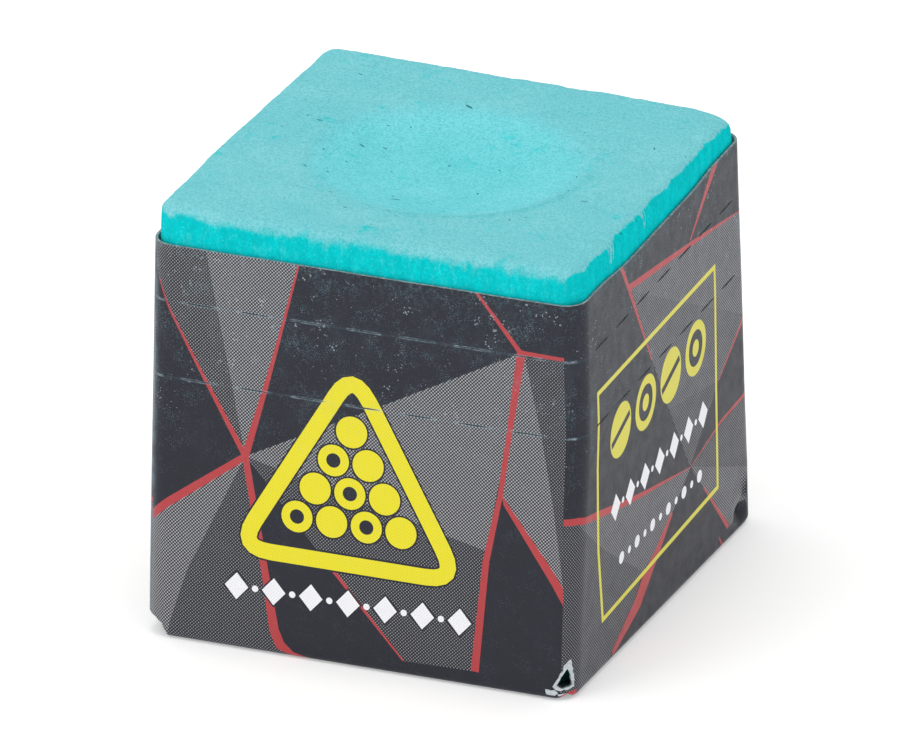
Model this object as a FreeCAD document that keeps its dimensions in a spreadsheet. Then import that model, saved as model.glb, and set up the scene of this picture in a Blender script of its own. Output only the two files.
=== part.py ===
# Cue chalk cube: a pressed block of cue chalk in a printed paper wrapper.
#
# The wrapper is one sheet of paper. It goes round the four sides of the block, laps over
# itself in a seam on the back, and is folded under the block in four flaps. Two rows of
# perforations divide it into the sleeve that stays on, a lower tear band and an upper
# tear band.
#
# Frame: +Z up, front face towards -Y, origin at the centre of the underside. Millimetres.

import FreeCAD, Part
import math
import os
import Sketcher

V = FreeCAD.Vector
doc = FreeCAD.newDocument("cue_chalk_cube")

# ---------------------------------------------------------------- driving dimensions
ROWS = [
    # alias, value, what it is
    ("base_half", 11.1, "half the width over the paper at the underside"),
    ("rim_half", 10.66, "half the width over the paper at the rim"),
    ("corner_round", 1.1, "radius of the paper over the block's upright edges"),
    ("rim_height", 20.05, "height of the paper's top edge"),
    ("block_top", 21.8, "height of the chalk's top face"),
    ("low_row", 13.3, "height of the lower row of perforations"),
    ("high_row", 17.15, "height of the upper row of perforations"),
    ("paper", 0.12, "thickness of the paper"),
    ("glue_gap", 0.03, "thickness of the glue between paper and chalk"),
    ("fold_round", 0.4, "outer radius of the fold at the underside"),
    ("chalk_foot_round", 0.35, "radius of the chalk's lower edges"),
    ("chalk_rim_round", 0.5, "worn radius of the chalk's upper edges"),
    ("dish_half", 6.75, "radius of the dish in the top face"),
    ("dish_deep", 1.1, "depth of the dish"),
    ("lip_round", 4.0, "radius that softens the lip of the dish"),
    ("flap_window", 5.9, "half the width of the window the folded flaps leave"),
    ("mitre_gap", 0.3, "gap between two flaps along the mitre"),
    ("mitre_overrun", 0.3, "how far the mitre cut starts inside the window's corner, in x and y"),
    ("mitre_stop", 0.6, "how far the mitre cut ends inside the base corner, in x and y"),
    ("notch_wide", 1.15, "half diagonal of the corner notch, one paper below the underside"),
    ("notch_taper", 0.3, "half diagonal of the notch at its top, as a share of notch_wide"),
    ("notch_high", 1.1, "height of the corner notch"),
    ("notch_inset", 0.35, "how far the notch's centre lies inside the base corner, in x and y"),
    ("slit_long", 1.8, "length of one perforation slit"),
    ("slit_pitch", 2.8, "pitch of the perforation slits"),
    ("slit_open", 0.05, "half the opening of a slit"),
    ("seam_near", 6.0, "near edge of the seam lap on the back face"),
    ("seam_wide", 3.0, "width of the seam lap"),
    ("patch_half", 6.5, "half the width of a glue patch under the sleeve"),
    ("patch_low", 2.5, "lower edge of the glue patches under the sleeve"),
    ("patch_high", 11.5, "upper edge of the glue patches under the sleeve"),
    ("foot_patch_in", 6.6, "inner edge of a glue patch under a flap"),
    ("foot_patch_out", 9.6, "outer edge of a glue patch under a flap"),
    ("foot_patch_half", 4.5, "half the length of a glue patch under a flap"),
    ("dab_half", 2.2, "half the width of a glue dab under a tear band"),
    ("dab_tall", 1.4, "height of a glue dab under a tear band"),
]
sheet = doc.addObject("Spreadsheet::Sheet", "dims")
for row, (alias, value, meaning) in enumerate(ROWS, start=1):
    sheet.set("A%d" % row, alias)
    sheet.set("B%d" % row, str(value))
    sheet.set("C%d" % row, meaning)
    sheet.setAlias("B%d" % row, alias)
doc.recompute()


class Length:
    """A number together with the sheet expression that drives it; arithmetic carries both."""

    def __init__(self, value, text=None):
        self.value = float(value)
        self.text = text or str(value)

    def __add__(self, other):
        return Length(self.value + other.value, "(%s + %s)" % (self.text, other.text))

    def __sub__(self, other):
        return Length(self.value - other.value, "(%s - %s)" % (self.text, other.text))

    def __neg__(self):
        return Length(-self.value, "(-(%s))" % self.text)

    def __mul__(self, other):
        return Length(self.value * other.value, "(%s * %s)" % (self.text, other.text))

    def __rmul__(self, number):
        return Length(number) * self

    def __truediv__(self, other):
        if not isinstance(other, Length):
            other = Length(other)
        return Length(self.value / other.value, "(%s / %s)" % (self.text, other.text))


class Dims:
    """Gives each dimension on the sheet as a Length: dims.paper, dims.low_row and so on."""

    def __getattr__(self, alias):
        return Length(getattr(sheet, alias), "dims.%s" % alias)


dims = Dims()
UNDERSIDE = Length(0)
NO_INSET = Length(0)
SKIN = dims.paper + dims.glue_gap


def half_at(level, inset):
    """Half the width over the paper at a height, less an inset."""
    draft = dims.base_half - dims.rim_half
    return dims.base_half - draft * level / dims.rim_height - inset


def bind(thing, path, length):
    thing.setExpression(path, length.text)


# ---------------------------------------------------------------- sketches
def origin_feature(body, role):
    return next(feature for feature in body.Origin.OriginFeatures if feature.Role == role)


def new_body(label):
    body = doc.addObject("PartDesign::Body", label)
    body.Label = label
    body.AllowCompound = True
    return body


def new_sketch(body, name, role="XY_Plane", level=None):
    sketch = body.newObject("Sketcher::SketchObject", name)
    sketch.AttachmentSupport = [(origin_feature(body, role), "")]
    sketch.MapMode = "FlatFace"
    if level is not None:
        bind(sketch, "AttachmentOffset.Base.z", level)
    return sketch


def pin(sketch, kind, points, name, length):
    """Adds a named dimension between two points and binds it to the sheet."""
    index = sketch.addConstraint(Sketcher.Constraint(kind, *points, length.value))
    sketch.renameConstraint(index, name)
    bind(sketch, "Constraints.%s" % name, length)


def pin_from_origin(sketch, kind, point, name, distance):
    """Pins a point's x or y, always as a positive dimension."""
    origin = (-1, 1)
    if distance.value >= 0:
        pin(sketch, kind, origin + point, name, distance)
    else:
        pin(sketch, kind, point + origin, name, -distance)


def add_loop(sketch, corners):
    """Four joined lines through corners given as (x, y) Lengths; returns the line numbers."""
    points = [V(x.value, y.value, 0) for x, y in corners]
    lines = [sketch.addGeometry(Part.LineSegment(points[k], points[(k + 1) % 4]), False)
             for k in range(4)]
    for k in range(4):
        sketch.addConstraint(
            Sketcher.Constraint("Coincident", lines[k], 2, lines[(k + 1) % 4], 1))
    return lines


def quad_sketch(body, name, level, corners):
    """Level sketch of a four-sided shape with every corner pinned."""
    sketch = new_sketch(body, name, level=level)
    lines = add_loop(sketch, corners)
    for k, (x, y) in enumerate(corners):
        pin_from_origin(sketch, "DistanceX", (lines[k], 1), "x%d" % k, x)
        pin_from_origin(sketch, "DistanceY", (lines[k], 1), "y%d" % k, y)
    return sketch


def rectangles(body, name, items, role="XY_Plane", level=None):
    """Sketch of upright rectangles, each given as (low x, low y, width, height)."""
    sketch = new_sketch(body, name, role, level)
    for number, (x, y, width, height) in enumerate(items):
        corners = [(x, y), (x + width, y), (x + width, y + height), (x, y + height)]
        bottom, right, top, left = add_loop(sketch, corners)
        for kind, line in (("Horizontal", bottom), ("Vertical", right),
                           ("Horizontal", top), ("Vertical", left)):
            sketch.addConstraint(Sketcher.Constraint(kind, line))
        pin_from_origin(sketch, "DistanceX", (bottom, 1), "x%d" % number, x)
        pin_from_origin(sketch, "DistanceY", (bottom, 1), "y%d" % number, y)
        pin(sketch, "DistanceX", (bottom, 1, bottom, 2), "w%d" % number, width)
        pin(sketch, "DistanceY", (right, 1, right, 2), "t%d" % number, height)
    return sketch


# ---------------------------------------------------------------- solid features
def drafted_block(body, kind, name, low, high, inset):
    """A square block between two heights whose four walls follow the draft, set in by a skin."""
    block = body.newObject("PartDesign::%sWedge" % kind, name)
    block.AttachmentSupport = [(origin_feature(body, "XZ_Plane"), "")]
    block.MapMode = "FlatFace"
    # the block's own Y runs up the cube; its Z runs to the front
    bind(block, "Ymin", low)
    bind(block, "Ymax", high)
    for axis, level in (("X", low), ("Z", low), ("X2", high), ("Z2", high)):
        half = half_at(level, inset)
        bind(block, axis + "min", -half)
        bind(block, axis + "max", half)
    doc.recompute()
    return block


def loft(body, kind, name, profile, section):
    feature = body.newObject("PartDesign::%sLoft" % kind, name)
    feature.Profile = profile
    feature.Sections = [section]
    feature.Ruled = True
    doc.recompute()
    return feature


def extrude(body, kind, name, profile, length):
    """A Pad rises from its sketch; a Pocket cuts down from it."""
    feature = body.newObject("PartDesign::" + kind, name)
    feature.Profile = profile
    bind(feature, "Length", length)
    doc.recompute()
    return feature


def turn_copies(body, name, original, angle=360, count=4):
    """Repeats a feature about the vertical axis."""
    turn = body.newObject("PartDesign::PolarPattern", name)
    turn.Originals = [original]
    turn.Axis = (origin_feature(body, "Z_Axis"), [""])
    turn.Angle = angle
    turn.Occurrences = count
    body.Tip = turn
    doc.recompute()
    return turn


def require_cut(cut, before, least):
    """Stops the script if a cut took away no more than this volume."""
    if not cut.Shape.Volume < before.Shape.Volume - least:
        raise RuntimeError("%s cut nothing" % cut.Name)


def upright_edges(feature, low, high, inset):
    """Names of the four slanted upright edges of a drafted block with this inset."""
    tolerance = 1e-6
    shortest = 1.0
    nearest = half_at(high, inset).value - tolerance
    farthest = half_at(low, inset).value + tolerance
    names = []
    for number, edge in enumerate(feature.Shape.Edges, start=1):
        box = edge.BoundBox
        xs = (abs(box.XMin), abs(box.XMax))
        ys = (abs(box.YMin), abs(box.YMax))
        if (box.ZLength > shortest and min(xs) > nearest
                and max(xs) < farthest and min(ys) > nearest):
            names.append("Edge%d" % number)
    if len(names) != 4:
        raise RuntimeError("%s has %d upright edges" % (feature.Name, len(names)))
    return names


def edges_at(feature, level, farthest=math.inf):
    """Names of the edges that lie flat at a height, no farther out than a limit."""
    tolerance = 1e-4
    names = []
    for number, edge in enumerate(feature.Shape.Edges, start=1):
        box = edge.BoundBox
        flat = max(abs(box.ZMin - level.value), abs(box.ZMax - level.value)) < tolerance
        reach = max(abs(box.XMin), abs(box.XMax), abs(box.YMin), abs(box.YMax))
        if flat and reach <= farthest:
            names.append("Edge%d" % number)
    return names


def round_edges(body, name, base, names, radius):
    fillet = body.newObject("PartDesign::Fillet", name)
    fillet.Base = (base, names)
    bind(fillet, "Radius", radius)
    doc.recompute()
    return fillet


# ---------------------------------------------------------------- the chalk block
def dish_profile(body):
    """Half section of the dish: a spherical arc, closed above the top face and on the axis."""
    sketch = new_sketch(body, "dish_profile", "XZ_Plane")
    top, deep, half = dims.block_top.value, dims.dish_deep.value, dims.dish_half.value
    sphere = (half * half + deep * deep) / (2 * deep)
    swing = math.asin(half / sphere)
    ball = Part.Circle(V(0, top - deep + sphere, 0), V(0, 0, 1), sphere)
    bottom, lip = V(0, top - deep, 0), V(half, top, 0)
    over_lip, over_bottom = V(half, top + deep, 0), V(0, top + deep, 0)

    arc = sketch.addGeometry(Part.ArcOfCircle(ball, -math.pi / 2, -math.pi / 2 + swing), False)
    outside = sketch.addGeometry(Part.LineSegment(lip, over_lip), False)
    cover = sketch.addGeometry(Part.LineSegment(over_lip, over_bottom), False)
    middle = sketch.addGeometry(Part.LineSegment(over_bottom, bottom), False)
    upright_axis = -2
    for rule in (
            ("Coincident", arc, 2, outside, 1),
            ("Coincident", outside, 2, cover, 1),
            ("Coincident", cover, 2, middle, 1),
            ("Coincident", middle, 2, arc, 1),
            ("Vertical", outside),
            ("Horizontal", cover),
            ("PointOnObject", middle, 1, upright_axis),
            ("PointOnObject", middle, 2, upright_axis),
            ("PointOnObject", arc, 3, upright_axis)):
        sketch.addConstraint(Sketcher.Constraint(*rule))
    pin_from_origin(sketch, "DistanceX", (arc, 2), "reach", dims.dish_half)
    pin_from_origin(sketch, "DistanceY", (arc, 2), "lip_level", dims.block_top)
    pin_from_origin(sketch, "DistanceY", (arc, 1), "bottom_level",
                    dims.block_top - dims.dish_deep)
    pin(sketch, "DistanceY", (outside, 1, outside, 2), "over", dims.dish_deep)
    return sketch


def make_chalk():
    body = new_body("chalk_block")
    top = dims.block_top
    core = drafted_block(body, "Additive", "chalk_core", SKIN, top, SKIN)
    upright = round_edges(body, "chalk_corners", core, upright_edges(core, SKIN, top, SKIN),
                          dims.corner_round - SKIN)
    worn = round_edges(body, "chalk_worn_edges", upright, edges_at(upright, top),
                       dims.chalk_rim_round)
    eased = round_edges(body, "chalk_lower_edges", worn, edges_at(worn, SKIN),
                        dims.chalk_foot_round)

    profile = dish_profile(body)
    hollow = body.newObject("PartDesign::Groove", "chalk_dish")
    hollow.Profile = profile
    hollow.ReferenceAxis = (profile, ["V_Axis"])
    hollow.Angle = 360
    doc.recompute()
    require_cut(hollow, eased, least=20)

    # the limit leaves out the top face's outer edges
    lip_limit = dims.dish_half.value + 0.5
    body.Tip = round_edges(body, "chalk_dish_lip", hollow, edges_at(hollow, top, lip_limit),
                           dims.lip_round)
    return body


# ---------------------------------------------------------------- the paper
def paper_ring(label, low, high, floor=None):
    """A ring of the wrapper between two heights; a floor closes it below for the flaps."""
    body = new_body(label)
    inside_low = low if floor is None else floor
    inner_round = dims.corner_round - dims.paper
    drafted_block(body, "Additive", label + "_outer", low, high, NO_INSET)
    shell = drafted_block(body, "Subtractive", label + "_inner", inside_low, high, dims.paper)
    # inner corners first, so that the wall keeps its thickness when the outer ones are rounded
    shell = round_edges(body, label + "_inner_corners", shell,
                        upright_edges(shell, inside_low, high, dims.paper), inner_round)
    shell = round_edges(body, label + "_corners", shell,
                        upright_edges(shell, low, high, NO_INSET), dims.corner_round)
    if floor is not None:
        shell = round_edges(body, label + "_inner_fold", shell, edges_at(shell, floor),
                            dims.fold_round - dims.paper)
        round_edges(body, label + "_fold", shell, edges_at(shell, low), dims.fold_round)
    return body


def seam_lap(body, name, low, high):
    """The outer ply of the seam: a strip that lies on the back wall and follows its draft."""
    def strip(tag, level):
        # starts halfway into the wall, so that it joins the paper beneath
        item = (dims.seam_near, half_at(level, dims.paper / 2), dims.seam_wide, 1.5 * dims.paper)
        return rectangles(body, "%s_%s" % (name, tag), [item], level=level)
    loft(body, "Additive", name, strip("low", low), strip("high", high))


def cut_slits(body, name, bottom):
    """Seven slits through the front and back walls, turned a quarter for the side walls."""
    items = [(k * dims.slit_pitch - dims.slit_long / 2, bottom, dims.slit_long, dims.slit_open)
             for k in range(-3, 4)]
    cut_profile = rectangles(body, name + "_profile", items, role="XZ_Plane")
    cut = body.newObject("PartDesign::Pocket", name)
    cut.Profile = cut_profile
    cut.Type = 1  # through all
    cut.Midplane = True
    turn_copies(body, name + "_round", cut, angle=90, count=2)


def notch_section(body, name, level, reach):
    """A square stood on its corner, near the front right base corner of the wrapper."""
    centre = dims.base_half - dims.notch_inset
    return quad_sketch(body, name, level, [
        (centre - reach, -centre), (centre, -centre - reach),
        (centre + reach, -centre), (centre, -centre + reach)])


def mitre_profile(body, level):
    """A thin strip along the diagonal between the front and right flaps."""
    near = dims.flap_window - dims.mitre_overrun
    far = dims.base_half - dims.mitre_stop
    slack = dims.mitre_gap / 2
    return quad_sketch(body, "mitre_profile", level, [
        (near - slack, -near - slack), (far - slack, -far - slack),
        (far + slack, -far + slack), (near + slack, -near + slack)])


def make_sleeve():
    """The ring that stays on, with its lower edge folded under in four flaps."""
    body = paper_ring("wrapper_sleeve", UNDERSIDE, dims.low_row, floor=dims.paper)
    seam_lap(body, "sleeve_seam", dims.fold_round, dims.low_row)

    # cuts through the floor start one paper above it and end one paper below
    cut_level = 2 * dims.paper
    cut_depth = 3 * dims.paper
    corner, width = -dims.flap_window, 2 * dims.flap_window
    window = rectangles(body, "flap_window_profile", [(corner, corner, width, width)],
                        level=cut_level)
    extrude(body, "Pocket", "flap_window_cut", window, cut_depth)

    # corner notches: the die cut that lets the flaps fold, wide at the underside
    notch = loft(body, "Subtractive", "corner_notch",
                 notch_section(body, "notch_low", -dims.paper, dims.notch_wide),
                 notch_section(body, "notch_high", dims.notch_high,
                               dims.notch_wide * dims.notch_taper))
    notches = turn_copies(body, "corner_notches", notch)

    mitre = extrude(body, "Pocket", "mitre_cut", mitre_profile(body, cut_level), cut_depth)
    require_cut(mitre, notches, least=0.05)
    turn_copies(body, "mitre_cuts", mitre)

    cut_slits(body, "sleeve_slits", dims.low_row - dims.slit_open)
    return body


def make_tear_band(label, short_name, low, high, slits):
    """A plain ring with its seam; slits are (name, height of their lower edge)."""
    body = paper_ring(label, low, high)
    seam_lap(body, short_name + "_seam", low, high)
    for name, bottom in slits:
        cut_slits(body, "%s_%s" % (short_name, name), bottom)
    return body


# ---------------------------------------------------------------- the glue
def wall_patches(body, name, pattern_name, low, high, half_width):
    """A thin pad between chalk and paper on each wall, following the draft."""
    def cross(tag, level):
        item = (-half_width, -half_at(level, dims.paper), 2 * half_width, dims.glue_gap)
        return rectangles(body, "%s_%s" % (name, tag), [item], level=level)
    patch = loft(body, "Additive", name, cross("low", low), cross("high", high))
    turn_copies(body, pattern_name, patch)


def make_sleeve_glue():
    body = new_body("sleeve_glue")
    wall_patches(body, "side_patch", "side_patches", dims.patch_low, dims.patch_high,
                 dims.patch_half)
    item = (-dims.foot_patch_half, -dims.foot_patch_out,
            2 * dims.foot_patch_half, dims.foot_patch_out - dims.foot_patch_in)
    profile = rectangles(body, "foot_patch_profile", [item], level=dims.paper)
    patch = extrude(body, "Pad", "foot_patch", profile, dims.glue_gap)
    turn_copies(body, "foot_patches", patch)
    return body


def make_band_glue():
    """A dab at mid height of each tear band, on each wall."""
    body = new_body("band_glue")
    for name, low, high in (("low_dab", dims.low_row, dims.high_row),
                            ("high_dab", dims.high_row, dims.rim_height)):
        middle = (low + high) / 2
        reach = dims.dab_tall / 2
        wall_patches(body, name, name + "s", middle - reach, middle + reach, dims.dab_half)
    return body


# ---------------------------------------------------------------- build and write
# each body with the number of solids it holds; each row of slits is shared by the
# rings above and below it, half of the opening in each
PIECES = [
    (make_chalk(), 1),
    (make_sleeve(), 1),
    (make_tear_band("lower_tear_band", "low_band", dims.low_row, dims.high_row,
                    [("lower_slits", dims.low_row),
                     ("upper_slits", dims.high_row - dims.slit_open)]), 1),
    (make_tear_band("upper_tear_band", "high_band", dims.high_row, dims.rim_height,
                    [("slits", dims.high_row)]), 1),
    (make_sleeve_glue(), 8),
    (make_band_glue(), 8),
]

for thing in doc.Objects:
    if "Invalid" in thing.State or "Error" in thing.State:
        raise RuntimeError("%s failed: %s" % (thing.Name, thing.State))
for body, solids in PIECES:
    if body.Shape.isNull() or not body.Shape.isValid():
        raise RuntimeError("%s has no valid shape" % body.Label)
    if len(body.Shape.Solids) != solids:
        raise RuntimeError("%s has %d solids" % (body.Label, len(body.Shape.Solids)))

os.makedirs("parts", exist_ok=True)
for body, _ in PIECES:
    body.Shape.exportStep("parts/%s.step" % body.Label)
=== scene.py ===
"""Cue chalk cube: a pressed chalk block in a printed paper wrapper with two tear-off bands.

The cube stands on z = 0, centred on x = y = 0, with its front towards -y. Sizes are in
millimetres, and become metres where a mesh is made. The wrapper is laid out as a flat sheet:
`around` runs from the middle of the front face towards the right face (+x), then the back, and
`up` runs up the walls; it is negative under the cube.
"""
import math

import bpy
import numpy as np
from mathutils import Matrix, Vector, geometry, noise


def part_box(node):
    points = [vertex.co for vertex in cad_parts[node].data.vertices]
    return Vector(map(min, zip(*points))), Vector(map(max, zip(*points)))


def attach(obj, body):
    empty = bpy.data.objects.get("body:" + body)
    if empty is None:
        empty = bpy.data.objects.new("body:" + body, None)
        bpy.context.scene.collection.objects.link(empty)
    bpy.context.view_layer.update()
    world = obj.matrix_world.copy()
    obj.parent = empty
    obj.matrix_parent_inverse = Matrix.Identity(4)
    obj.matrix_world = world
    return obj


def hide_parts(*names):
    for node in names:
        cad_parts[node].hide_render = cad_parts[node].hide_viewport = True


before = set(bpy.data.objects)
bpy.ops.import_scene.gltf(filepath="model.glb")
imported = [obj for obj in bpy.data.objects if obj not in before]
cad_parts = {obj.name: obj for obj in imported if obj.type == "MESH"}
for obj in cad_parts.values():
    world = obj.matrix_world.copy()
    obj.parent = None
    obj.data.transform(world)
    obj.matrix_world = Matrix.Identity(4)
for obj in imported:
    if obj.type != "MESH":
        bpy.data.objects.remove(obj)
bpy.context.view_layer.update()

MM = 0.001


def box_mm(node):
    low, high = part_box(node)
    return np.array(low) / MM, np.array(high) / MM


# ---------------------------------------------------------------- sizes, some read from the frame
low_band, high_band = box_mm("lower_tear_band"), box_mm("upper_tear_band")
ROW_LOW, ROW_HIGH = float(low_band[0][2]), float(low_band[1][2])    # the two perforations
RIM = float(high_band[1][2])                                        # top of the paper
TOP = float(box_mm("chalk_block")[1][2])
SLOPE = float(low_band[1][0] - high_band[1][0]) / (ROW_HIGH - ROW_LOW)      # draft of a wall
BASE = float(low_band[1][0]) + SLOPE * ROW_LOW                      # half width at the underside
PANEL = 2 * BASE
CORNER = 1.1          # radius of the paper over an upright edge
PAPER = 0.12
GLUE = 0.03
GAP = PAPER + GLUE    # from the outside of the paper to the chalk
FOLD = 0.4            # radius of the fold at the foot of a wall
FOLD_END = FOLD - FOLD * math.pi / 2
SEAM_X = 9.0          # the lap lies on the back face, from x = 9 to x = 6
SEAM_WIDE = 3.0
LAP = 2 * PANEL - SEAM_X        # where the outer ply starts to cover the inner one
SHEET_END = LAP + SEAM_WIDE
SHEET_START = LAP - 4 * PANEL
DENT = (9.35, 0.95)   # in the right face: y, z
SLIT_PITCH = 2.8


# ---------------------------------------------------------------- small helpers
def smooth(value, low, high):
    share = np.clip((np.asarray(value, float) - low) / (high - low), 0, 1)
    return share * share * (3 - 2 * share)


def knock(points):
    """Push in the lower front right corner, and let the rim above it lean out a little."""
    x = np.clip(points[:, 0] / BASE, -1, 1)
    y = np.clip(points[:, 1] / BASE, -1, 1)
    z = points[:, 2]
    share = (1 + x) * (1 - y) / 4
    low = np.clip(1 - z / ROW_LOW, 0, 1)
    high = np.clip(z / RIM, 0, 1) ** 2
    out = points.copy()
    out[:, 0] += share * (-0.75 * low + 0.10 * high)
    out[:, 1] += share * (-0.03 * low - 0.02 * high)
    return out


def fractal(points, scale, octaves, seed):
    """Smooth noise, about -1 to 1, at rows of points."""
    shift = Vector((seed, seed * 1.7 + 3.1, seed * 0.6 - 5.2))
    return np.array([noise.fractal(Vector(point) * scale + shift, 1.0, 2.0, octaves)
                     for point in points])


def make_mesh(name, points, faces, smooth_faces=True):
    mesh = bpy.data.meshes.new(name)
    mesh.from_pydata([tuple(point) for point in points], [], faces)
    mesh.update()
    if smooth_faces:
        for polygon in mesh.polygons:
            polygon.use_smooth = True
    return mesh


def make_object(name, data):
    thing = bpy.data.objects.new(name, data)
    bpy.context.scene.collection.objects.link(thing)
    return thing


# ---------------------------------------------------------------- the paper, from flat to folded
def lap_lift(around, up):
    """The outer ply of the seam stands one paper thickness proud of the inner one."""
    return (PAPER + 0.006) * smooth(around, LAP - 0.9, LAP - 0.05) * smooth(up, 0.3, 0.6)


def sheet_point(around, up, off):
    """From the flat sheet to space; `off` is the distance out from the sheet."""
    around, up, off = (np.asarray(a, float) for a in np.broadcast_arrays(around, up, off))
    face = np.round(around / PANEL)
    bend = np.clip((FOLD - up) / FOLD, 0, math.pi / 2)
    z = np.where(up >= FOLD, up, FOLD * (1 - np.sin(bend)))
    inset = np.where(up >= FOLD_END, FOLD * (1 - np.cos(bend)), FOLD + (FOLD_END - up))
    half = BASE - SLOPE * z
    along = (around - face * PANEL) * half / BASE
    core = half - CORNER
    turn = np.clip((np.abs(along) - core) / CORNER, 0, 1) * (math.pi / 4)
    radius = CORNER - inset + off * np.cos(bend)
    in_corner = np.abs(along) > core
    # on the front face first, then turned to the face it belongs to
    x = np.where(in_corner, np.sign(along) * (core + radius * np.sin(turn)), along)
    y = np.where(in_corner, -(core + radius * np.cos(turn)),
                 -(half - inset + off * np.cos(bend)))
    quarter = np.mod(face, 4).astype(int)
    cosine = np.array([1, 0, -1, 0])[quarter]
    sine = np.array([0, 1, 0, -1])[quarter]
    return np.stack([cosine * x - sine * y, sine * x + cosine * y, z - off * np.sin(bend)], -1)


def sheet_swell(around, up):
    """How far the paper stands off: soft waves outwards, and the dent in the right face."""
    points = sheet_point(around, up, 0.0)
    wide = fractal(points, 0.16, 2, 7.0) * 0.5 + 0.5
    fine = fractal(points, 0.55, 2, 19.0) * 0.5 + 0.5
    lift = (0.035 * wide + 0.012 * fine) * smooth(up, 0.3, 2.5)
    far, high = (around - PANEL - DENT[0]) / 0.62, (up - DENT[1]) / 0.50
    return lift - 0.34 * np.exp(-(far ** 2 + high ** 2)) * smooth(up, 0.0, 0.3)


def sheet_surface(around, up, off):
    return sheet_point(around, up, off + lap_lift(around, up) + sheet_swell(around, up))


def sheet_normals(around, up):
    step = 0.03
    inner = np.clip(around, SHEET_START + 0.1, SHEET_END - 0.1)
    sideways = sheet_surface(inner + step, up, 0.0) - sheet_surface(inner - step, up, 0.0)
    upward = sheet_surface(inner, up + step, 0.0) - sheet_surface(inner, up - step, 0.0)
    normal = np.cross(sideways, upward)
    return normal / np.linalg.norm(normal, axis=1)[:, None]


# ---------------------------------------------------------------- the printed pattern
# Each ink's colour, and a number: 0 to 1 is the coverage of the dot screen that prints it
# (1 is solid), 2 is bare paper, 3 is painted shade: a bare dark place with no gloss.
INKS = {
    "black": ((0.0295, 0.0302, 0.0400), 0.0),
    "light": ((0.46, 0.46, 0.475), 0.40),
    "mid": ((0.38, 0.37, 0.37), 0.27),
    "dark": ((0.36, 0.36, 0.37), 0.24),
    "light_side": ((0.44, 0.44, 0.47), 0.31),
    "mid_side": ((0.40, 0.40, 0.43), 0.27),
    "dark_side": ((0.36, 0.36, 0.38), 0.23),
    "red": ((0.475, 0.064, 0.070), 1.0),
    "yellow": ((0.83, 0.74, 0.035), 1.0),
    "frame": ((0.74, 0.68, 0.085), 1.0),
    "white": ((0.90, 0.90, 0.94), 1.0),
    "core": ((0.66, 0.72, 0.74), 2.0),
    "edge": ((0.15, 0.19, 0.20), 2.0),
    "back": ((0.52, 0.54, 0.54), 2.0),
    "shadow": ((0.008, 0.010, 0.012), 3.0),
}
ART_MIDDLE = 11.1     # middle of a panel's artwork, from the panel's left edge


def stroke(points, widths):
    """A band along a polyline, with one width or its own width at every point."""
    points = [Vector(point) for point in points]
    if not isinstance(widths, list):
        widths = [widths] * len(points)
    left, right = [], []
    for i, point in enumerate(points):
        before = (point - points[i - 1]).normalized() if i else None
        after = (points[i + 1] - point).normalized() if i < len(points) - 1 else None
        mitre = 1.0
        if before is None:
            along = after
        elif after is None:
            along = before
        else:
            along = (before + after).normalized()
            mitre = 1.0 / max(0.5, along.dot(before))
        offset = Vector((-along.y, along.x)) * (widths[i] / 2) * mitre
        left.append(point + offset)
        right.append(point - offset)
    return [(point.x, point.y) for point in left + right[::-1]]


def disc(x, y, radius, count):
    angles = [2 * math.pi * i / count for i in range(count)]
    return [(x + radius * math.cos(angle), y + radius * math.sin(angle)) for angle in angles]


def diamond(x, y, wide, tall):
    return [(x - wide / 2, y), (x, y - tall / 2), (x + wide / 2, y), (x, y + tall / 2)]


def ring(points, wide):
    """A closed line, one quad for each step, so that what is printed inside still shows."""
    points = [Vector(point) for point in points]
    count = len(points)
    right, left = [], []
    for i, point in enumerate(points):
        before = (point - points[i - 1]).normalized()
        along = (before + (points[(i + 1) % count] - point).normalized()).normalized()
        offset = Vector((-along.y, along.x)) * (wide / 2)
        right.append(point - offset)
        left.append(point + offset)
    quads = []
    for i in range(count):
        j = (i + 1) % count
        quads.append([tuple(right[i]), tuple(right[j]), tuple(left[j]), tuple(left[i])])
    return quads


def rounded(corners, cut):
    """A closed outline with its corners rounded."""
    steps = 6
    out = []
    for i, corner in enumerate(corners):
        before, middle = Vector(corners[i - 1]), Vector(corner)
        after = Vector(corners[(i + 1) % len(corners)])
        first = middle + (before - middle).normalized() * cut
        last = middle + (after - middle).normalized() * cut
        for k in range(steps + 1):
            t = k / steps
            point = first * (1 - t) ** 2 + middle * 2 * t * (1 - t) + last * t ** 2
            out.append((point.x, point.y))
    return out


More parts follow.
